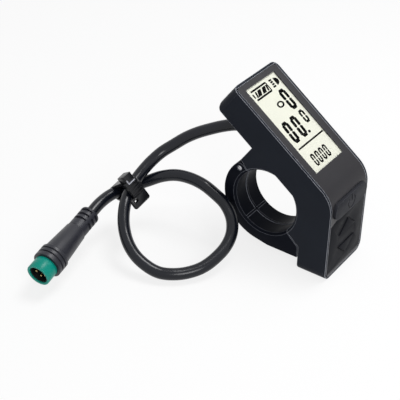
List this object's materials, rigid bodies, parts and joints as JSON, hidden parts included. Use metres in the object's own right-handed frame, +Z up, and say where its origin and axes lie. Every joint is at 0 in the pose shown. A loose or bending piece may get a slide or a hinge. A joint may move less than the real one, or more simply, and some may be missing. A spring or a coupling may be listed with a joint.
{
  "type": "e-bike display",
  "caption": "Handlebar display with a sloping screen, a power key, two arrow keys, a hinged clamp ring and a tied lead with a round plug.",
  "frame": {"origin": "centre of the clamp bore, at the middle of the ring's width", "axes": "+X along the bar to the rider's right, +Y away from the rider, +Z up"},
  "size_m": [0.0831, 0.0757, 0.058],
  "materials": {
    "housing": "fine satin, moulded",
    "cover": "satin gloss",
    "window": "clear, polished",
    "gasket": "matt foam",
    "lcd": "cream ground with black segments",
    "backlight": "white diffuser",
    "board": "green solder mask",
    "chip": "matt",
    "parts": "matt",
    "socket": "matt",
    "wires": "matt",
    "switches": "satin",
    "ribbon": "satin",
    "panel": "fine satin",
    "power_key": "satin, with a pale sign",
    "arrow_keys": "satin",
    "screws": "satin",
    "insert": "turned",
    "strap": "fine satin, moulded",
    "pin": "turned",
    "relief": "satin",
    "lead": "satin jacket",
    "tie": "satin",
    "plug": "satin, moulded",
    "nose": "green-blue, satin gloss",
    "plug_core": "matt",
    "contacts": "plated"
  },
  "bodies": {
    "display": {"rear_housing": "housing", "front_cover": "cover", "lens_window": "window", "window_gasket": "gasket", "lcd_glass": "lcd", "lcd_backlight": "backlight", "main_pcb": "board", "controller_chip": "chip", "power_parts": "parts", "cable_socket": "socket", "inner_wires": "wires", "key_pcb": "board", "tact_switches": "switches", "board_ribbon": "ribbon", "key_panel": "panel", "cover_screws": "screws", "screw_insert": "insert", "hinge_pin": "pin", "strain_relief": "relief", "lead": "lead", "cable_tie": "tie", "plug_body": "plug", "plug_nose": "nose", "plug_insert": "plug_core", "plug_pins": "contacts"},
    "strap": {"clamp_strap": "strap"},
    "clamp_screw": {"clamp_screw": "screws"},
    "power_key": {"power_button": "power_key"},
    "up_key": {"up_button": "arrow_keys"},
    "down_key": {"down_button": "arrow_keys"}
  },
  "joints": [
    {"name": "power_press", "type": "slide", "parent": "display", "child": "power_key", "axis": [0, 1, 0], "range_m": [0, 0.0005], "stiffness_N_per_m": 2000, "springref_m": -0.0002},
    {"name": "up_press", "type": "slide", "parent": "display", "child": "up_key", "axis": [0, 1, 0], "range_m": [0, 0.0005], "stiffness_N_per_m": 2000, "springref_m": -0.0002},
    {"name": "down_press", "type": "slide", "parent": "display", "child": "down_key", "axis": [0, 1, 0], "range_m": [0, 0.0005], "stiffness_N_per_m": 2000, "springref_m": -0.0002},
    {"name": "strap_swing", "type": "hinge", "parent": "display", "child": "strap", "pos_m": [0, 0.01, 0.0092], "axis": [1, 0, 0], "range_deg": [0, 60]},
    {"name": "clamp_screw_out", "type": "slide", "parent": "strap", "child": "clamp_screw", "axis": [0, 0.6703, -0.7421], "range_m": [0, 0.006]}
  ]
}
